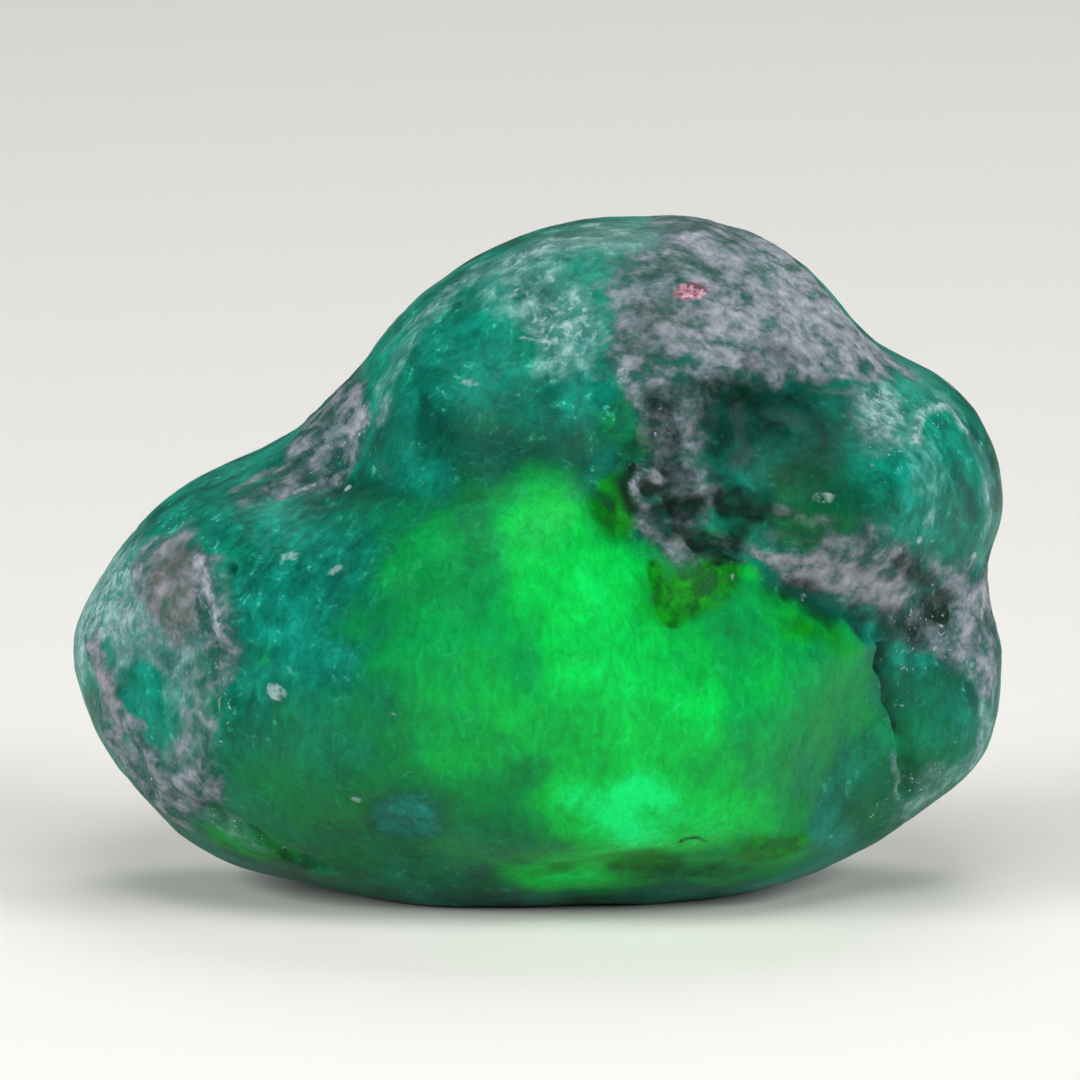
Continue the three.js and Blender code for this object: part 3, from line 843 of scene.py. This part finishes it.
# The greens of the painted glow, from its dim edge to its brightest.
GLOW_GREENS = [(0.06, "#02523c"), (0.2, "#025f36"), (0.34, "#017838"), (0.48, "#01903e"), (0.64, "#01aa3a"),
            (0.78, "#01bd42"), (0.88, "#01ce5a"), (1.0, "#03e678")]
# The olive greens, also of the painted shade behind the fracture.
MOSSY_AND_SHADE = [(0.38, "#02380a"), (0.48, "#025a08"), (0.6, "#047e08")]
# The milky greys and the frosted white are frosting and painted sheen together.
MILKY_AND_SHEEN = [(0.34, "#2f6c69"), (0.5, "#538380"), (0.66, "#86a8a6")]
FROST_AND_SHEEN = "#a9bfc0"
FIBRES = [(0.34, 0.2), (0.7, 0.85)]  # from dark to light grey
FIBRE_STRENGTH = 0.32
VEILED = [(0.34, "#025a4d"), (0.5, "#047b69"), (0.66, "#0f9888")]
THREAD = "#3cb59c"
CRUMB = "#4fbba9"


def beryl_colour(material, pattern):
    """The emerald's colour: cloudy ends, a clear heart's painted glow, olive places and painted shade,
    and milky places with painted sheen.
    """
    colour = add(material, "ValToRGB", {"Fac": pattern["clouds"]}, stops=CLOUDY)
    # The clear mask is the painted glow.
    glow_share = share_of(material, "clear", pattern["veils"], 1.1, 0.0, 1.0)
    thread = add(material, "ValToRGB", {"Fac": pattern["loops"]},
                 stops=[(0.485, 0.0), (0.5, 1.0), (0.515, 0.0)])
    short = add(material, "ValToRGB", {"Fac": pattern["breaks"]}, stops=[(0.5, 0.0), (0.66, 0.22)])
    crumb = add(material, "ValToRGB", {"Fac": pattern["crumbs"]}, stops=[(0.57, 0.0), (0.67, 0.6)])
    strewn = add(material, "ValToRGB", {"Fac": pattern["wisps"]}, stops=[(0.5, 0.0), (0.62, 1.0)])
    bright = add(material, "ValToRGB", {"Fac": pattern["wisps"]}, stops=[(0.52, 0.0), (0.75, 0.45)])
    dim = add(material, "ValToRGB", {"Fac": pattern["wisps"]}, stops=[(0.28, 0.5), (0.46, 0.0)])
    layers = [
        (dim, "#013c28"),
        (bright, "#129a74"),
        (share_of(material, "teal", pattern["veils"], 1.8, 0.0, 1.0, 0.85),
         add(material, "ValToRGB", {"Fac": pattern["wisps"]}, stops=VEILED)),
        (add(material, "Math", {0: crumb, 1: strewn}, operation="MULTIPLY"), CRUMB),
        (add(material, "MapRange", {
            "Value": glow_share, "From Min": 0.03, "From Max": 0.34, "To Max": 0.92}),
         add(material, "ValToRGB", {"Fac": glow_share}, stops=GLOW_GREENS)),
        (add(material, "Math", {0: thread, 1: short}, operation="MULTIPLY"), THREAD),
        (share_of(material, "olive_and_shade", pattern["wisps"], 1.6, 0.1, 0.9, 0.92),
         add(material, "ValToRGB", {"Fac": pattern["wisps"]}, stops=MOSSY_AND_SHADE)),
        (share_of(material, "milk_and_sheen", pattern["wisps"], 2.2, 0.15, 1.05, 0.8),
         add(material, "ValToRGB", {"Fac": pattern["wisps"]}, stops=MILKY_AND_SHEEN)),
        (share_of(material, "milk_and_sheen", pattern["crumbs"], 3.0, 0.9, 1.4, 0.5), FROST_AND_SHEEN),
    ]
    for share, paint in layers:
        colour = add(material, "Mix", {"Factor": share, COLOURS[0]: colour, COLOURS[1]: paint},
                     out=MIXED_COLOUR, data_type="RGBA")
    fibres = add(material, "ValToRGB", {"Fac": pattern["fibres"]}, stops=FIBRES)
    return add(material, "Mix", {"Factor": FIBRE_STRENGTH, COLOURS[0]: colour, COLOURS[1]: fibres},
               out=MIXED_COLOUR, data_type="RGBA", blend_type="OVERLAY")


# %% [markdown]
# The schist is grey mica with a lilac cast. Its tone changes from place to place: pale on the worn roof
# and the lower band, greenish and dark in the strand. In the hollow the dark layer laid over both
# minerals paints it almost black, as shade.

# %% Colours of the schist
MICA = [(0.42, "#0b2a26"), (0.52, "#1c3f3d"), (0.6, "#38534f"), (0.67, "#55666a"), (0.76, "#747b83"),
        (0.92, "#989ca6")]
WARM_MICA = "#6a5f58"


def mica_colour(material, pattern):
    """The schist's colour, from dark to pale and warm."""
    paler = share_of(material, "pale", pattern["crumbs"], 1.0, 0.0, 1.0, 0.17)
    tone = add(material, "Math", {0: pattern["mica"], 1: paler}, operation="ADD")
    tone = add(material, "Math", {0: pattern["crumbs"], 1: 0.24, 2: tone}, operation="MULTIPLY_ADD")
    colour = add(material, "ValToRGB", {"Fac": tone}, stops=MICA)
    warmth = share_of(material, "warm", pattern["crumbs"], 1.0, 0.0, 1.0, 0.45)
    return add(material, "Mix", {"Factor": warmth, COLOURS[0]: colour, COLOURS[1]: WARM_MICA},
               out=MIXED_COLOUR, data_type="RGBA")


# %% Grains, flakes, painted glints and painted shade over both
# The darkest green, of dark beryl and of painted shade.
DARK_AND_SHADE_GREEN = "#011a12"
ROSY = [(0.38, "#3a2a2f"), (0.5, "#8f5566"), (0.64, "#c496a2")]
GRIT = "#a9c3c1"
# The white of the flakes and of the painted glints.
FLAKE_AND_GLINT = "#a0b6b8"


def stone_colour(material, pattern):
    """The whole stone's colour, and the share of schist that covers the beryl."""
    cover = share_of(material, "film", pattern["mica"], 2.6, 0.15, 0.75)
    thin = add(material, "ValToRGB", {"Fac": pattern["wisps"]}, stops=[(0.3, 0.7), (0.5, 1.0)])
    cover = add(material, "Math", {0: cover, 1: thin}, operation="MULTIPLY")
    specks = add(material, "ValToRGB", {"Fac": pattern["grit"]}, stops=[(0.65, 0.0), (0.72, 0.7)])
    speckled_share = share_of(material, "speckled", pattern["breaks"], 3.0, 0.3, 0.9)
    colour = beryl_colour(material, pattern)
    layers = [
        (cover, mica_colour(material, pattern)),
        (share_of(material, "dark_and_shade", pattern["wisps"], 2.0, 0.1, 1.0, 0.95), DARK_AND_SHADE_GREEN),
        (share_of(material, "pink", pattern["crumbs"], 2.0, 0.2, 0.8, 0.85),
         add(material, "ValToRGB", {"Fac": pattern["crumbs"]}, stops=ROSY)),
        (add(material, "Math", {0: specks, 1: speckled_share}, operation="MULTIPLY"), GRIT),
        (share_of(material, "flakes_and_glints", pattern["crumbs"], 3.0, 0.35, 1.0, 0.65), FLAKE_AND_GLINT),
    ]
    for share, paint in layers:
        colour = add(material, "Mix", {"Factor": share, COLOURS[0]: colour, COLOURS[1]: paint},
                     out=MIXED_COLOUR, data_type="RGBA")
    return colour, cover


BUMP_RISE = 0.05  # mm


def stone_bump(material, pattern, cover):
    """Fine pitting all over, and the grain of the mica where schist covers the beryl."""
    mica = add(material, "Math", {0: pattern["mica"], 1: cover}, operation="MULTIPLY")
    height = add(material, "Math", {0: pattern["pitting"], 1: 0.4, 2: mica}, operation="MULTIPLY_ADD")
    return add(material, "Bump", {"Height": height, "Distance": BUMP_RISE * MM, "Strength": 0.8})


# %% [markdown]
# Tumbling leaves beryl with a fine satin surface, neither polished nor rough, so its highlights are broad
# and weak. The light that enters it is scattered by clouds of tiny fractures, and red is soaked up first,
# so the scattered light is green. Subsurface scattering with a short reach for red does both. Nothing
# behind the stone shows through it, so it needs no plain transmission.

# %% Tumbled emerald
BERYL_IOR = 1.58
GREEN_REACH = (0.25, 1.0, 0.6)  # how far red, green and blue light go, as shares of the reach
REACH = 0.15  # mm


def make_emerald():
    material = new_material("tumbled_emerald")
    pattern = stone_patterns(material)
    colour, cover = stone_colour(material, pattern)
    shader = add(material, "BsdfPrincipled", {
        "Base Color": colour,
        "Roughness": add(material, "MapRange", {"Value": cover, "To Min": 0.45, "To Max": 0.7}),
        "Normal": stone_bump(material, pattern, cover),
        "IOR": BERYL_IOR,
        "Specular IOR Level": 0.13,  # far below the usual 0.5, as filters leave the stone little gloss
        "Subsurface Weight": 0.4,
        "Subsurface Radius": GREEN_REACH,
        "Subsurface Scale": REACH * MM,
    })
    add(material, "OutputMaterial", {"Surface": shader})
    return material


# %% [markdown]
# Mica schist is a stack of tiny flakes, squeezed and bent. Its surface is dull, but single flakes turn to
# the light and glint. The streaks of its colour also stand up as relief, so one noise drives both. Light
# doesn't enter it, so it has no scattering.

# %% Mica schist
MICA_IOR = 1.58


def make_schist():
    material = new_material("mica_schist")
    pattern = stone_patterns(material)
    colour, cover = stone_colour(material, pattern)
    shader = add(material, "BsdfPrincipled", {
        "Base Color": colour,
        "Roughness": add(material, "MapRange", {
            "Value": pattern["pitting"], "From Min": 0.45, "From Max": 0.65,
            "To Min": 0.7, "To Max": 0.42}),
        "Normal": stone_bump(material, pattern, cover),
        "IOR": MICA_IOR,
        "Specular IOR Level": 0.2,
    })
    add(material, "OutputMaterial", {"Surface": shader})
    return material


emerald.data.materials.append(make_emerald())
schist_material = make_schist()
for piece_name in SCHIST_NODES:
    bpy.data.objects[piece_name].data.materials.append(schist_material)
for material in (emerald.data.materials[0], schist_material):
    print(material.name, "has", len(material.node_tree.nodes), "nodes")

# %% [markdown]
# A sheet of matt paper and large lamps far away make a plain, even light. A photographer of dark stones
# puts polarising filters on the side lamps and the lens, which take the veil of white gloss off the
# colour. Here the side lamps are hidden from mirror rays for the same reason, and only the weak lamps
# above make highlights.

# %% Floor
FLOOR_HALF = 400  # mm


def make_floor():
    material = new_material("matt_paper")
    shader = add(material, "BsdfPrincipled", {"Base Color": "#dcdad6", "Roughness": 0.9})
    add(material, "OutputMaterial", {"Surface": shader})
    mesh = bpy.data.meshes.new("floor")
    corners = [(-1, -1), (1, -1), (1, 1), (-1, 1)]
    points = [(x * FLOOR_HALF * MM, y * FLOOR_HALF * MM, 0) for x, y in corners]
    mesh.from_pydata(points, [], [(0, 1, 2, 3)])
    mesh.materials.append(material)
    floor = bpy.data.objects.new("floor", mesh)
    bpy.context.scene.collection.objects.link(floor)


make_floor()
print("floor", 2 * FLOOR_HALF, "mm wide")


# %% Lamps
LAMP_DISTANCE = 300  # mm
LAMP_SIZE = 160  # mm
ROOM_LIGHT = 0.1  # of the light that white paper gives back, from all round


def softbox(name, turn, rise, strength, mirrored=False):
    """A square lamp at a turn from the camera's side and a rise, in degrees. White paper that faces a
    lamp of strength 1 looks just white. Only a lamp that is mirrored makes highlights."""
    turn, rise = math.radians(turn), math.radians(rise)
    way = Vector((math.sin(turn) * math.cos(rise), -math.cos(turn) * math.cos(rise), math.sin(rise)))
    lamp = bpy.data.lights.new(name, "AREA")
    lamp.size = LAMP_SIZE * MM
    lamp.energy = strength * (math.pi * LAMP_DISTANCE * MM) ** 2
    made = bpy.data.objects.new(name, lamp)
    made.location = (Vector(HEART) + way * LAMP_DISTANCE) * MM
    made.rotation_euler = way.to_track_quat("Z", "Y").to_euler()
    made.visible_glossy = mirrored
    bpy.context.scene.collection.objects.link(made)


softbox("left_softbox", -60, 24, 1.0)
softbox("right_softbox", 62, 24, 0.95)
softbox("front_softbox", 5, 62, 0.35, mirrored=True)
softbox("rear_softbox", 170, 50, 0.35, mirrored=True)
world = bpy.data.worlds.new("studio")
world.use_nodes = True
room = world.node_tree.nodes["Background"]
room.inputs["Color"].default_value = linear("#f2f5f8")
room.inputs["Strength"].default_value = ROOM_LIGHT
bpy.context.scene.world = world
bpy.context.scene.view_settings.view_transform = "Standard"
print(len(bpy.data.lights), "lamps,", LAMP_DISTANCE, "mm from the stone")
